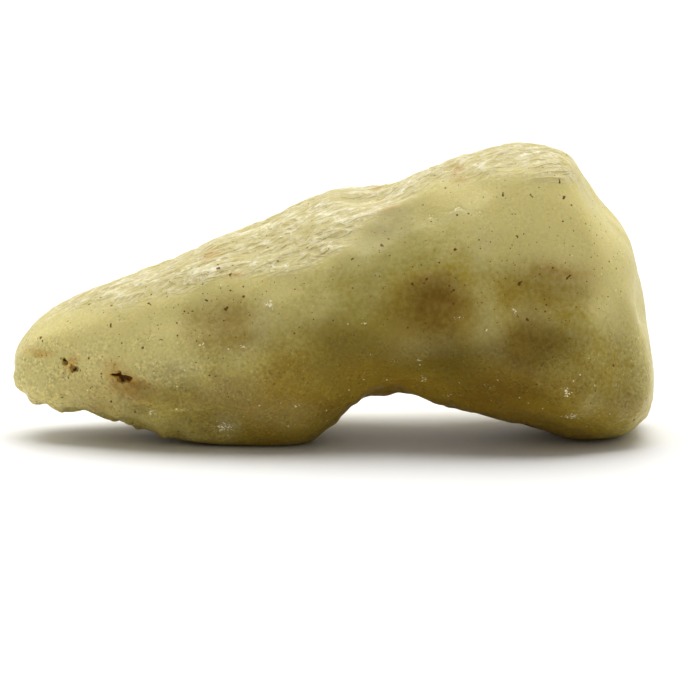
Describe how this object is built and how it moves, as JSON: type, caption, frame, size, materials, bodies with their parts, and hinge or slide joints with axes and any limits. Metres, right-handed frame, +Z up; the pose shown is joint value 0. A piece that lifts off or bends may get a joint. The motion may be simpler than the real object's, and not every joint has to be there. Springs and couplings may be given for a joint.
{
  "type": "libyan desert glass",
  "caption": "Lump of cloudy yellow-green natural glass, one solid, with a narrow snout, a thick end and a low arch between its two feet.",
  "frame": {"origin": "on the surface that the stone stands on, under the middle of the stone", "axes": "+X along the stone from the snout to the thick end, +Y from the front to the back, +Z up"},
  "size_m": [0.0698, 0.0332, 0.0322],
  "materials": {
    "desert_glass": "satin"
  },
  "bodies": {
    "root": {"desert_glass": "desert_glass"}
  },
  "joints": []
}
